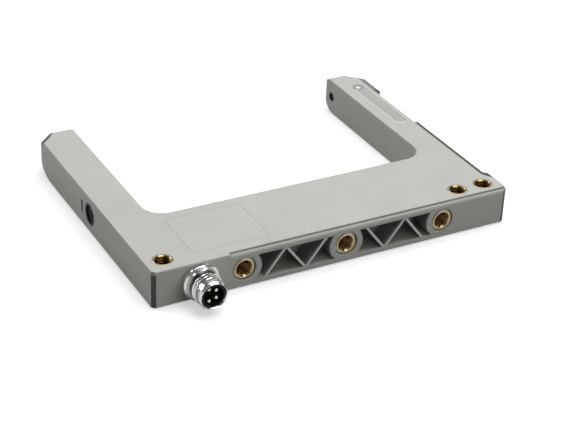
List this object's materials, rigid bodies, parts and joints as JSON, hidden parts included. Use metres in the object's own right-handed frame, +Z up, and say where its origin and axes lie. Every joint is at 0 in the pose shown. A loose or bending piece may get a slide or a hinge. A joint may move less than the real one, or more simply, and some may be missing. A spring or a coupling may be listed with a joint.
{
  "type": "fork sensor",
  "caption": "Flat U-shaped fork light barrier with a ribbed front, threaded brass bushes, a threaded plug connector, a status window and a side trimmer.",
  "frame": {"origin": "on the underside, in the middle of the whole length and width, connector included", "axes": "+X across the gap, from the trimmer arm to the window arm; +Y from the connector side to the arm tips; +Z up, from the underside to the cover"},
  "size_m": [0.1, 0.087, 0.01],
  "materials": {
    "housing_plastic": "fine-grained mid-grey moulding",
    "cover_plastic": "fine-grained light-grey moulding",
    "plate_foil": "bare satin foil",
    "window_plastic": "frosted clear light guide",
    "lamp_resin": "clear domed resin",
    "brass": "turned brass",
    "plated_metal": "bright nickel plating on turned brass",
    "black_plastic": "black insulating plastic",
    "contact_gold": "gold-plated contact metal",
    "seal_rubber": "soft sealing rubber",
    "lens_glass": "clear moulded lens",
    "diode_resin": "dark tinted resin",
    "board_laminate": "green circuit board",
    "link_copper": "tinned copper strip",
    "trimmer_plastic": "black plastic disc",
    "trimmer_case": "blue trimmer body",
    "chip_resin": "black moulded package"
  },
  "bodies": {
    "housing": {"housing_tub": "housing_plastic", "housing_cover": "cover_plastic", "name_plate": "plate_foil", "indicator_window": "window_plastic", "indicator_lamp": "lamp_resin", "rear_insert_left": "brass", "rear_insert_middle": "brass", "rear_insert_right": "brass", "through_insert_left": "brass", "through_insert_inner": "brass", "through_insert_right": "brass", "connector_shell": "plated_metal", "connector_core": "black_plastic", "contact_pins": "contact_gold", "connector_seal": "seal_rubber", "emitter_port": "black_plastic", "emitter_lens": "lens_glass", "emitter_diode": "diode_resin", "emitter_board": "board_laminate", "emitter_link": "link_copper", "receiver_port": "black_plastic", "receiver_lens": "lens_glass", "receiver_diode": "diode_resin", "receiver_board": "board_laminate", "receiver_link": "link_copper", "trimmer_body": "trimmer_case", "trimmer_seal": "seal_rubber", "main_board": "board_laminate", "controller_chip": "chip_resin", "driver_chip": "chip_resin", "regulator_chip": "chip_resin"},
    "trimmer": {"trimmer_rotor": "trimmer_plastic"}
  },
  "joints": [
    {"name": "trimmer_turn", "type": "hinge", "parent": "housing", "child": "trimmer", "pos_m": [-0.0497, 0.0041, 0.005], "axis": [1, 0, 0], "range_deg": [-135, 135]}
  ]
}
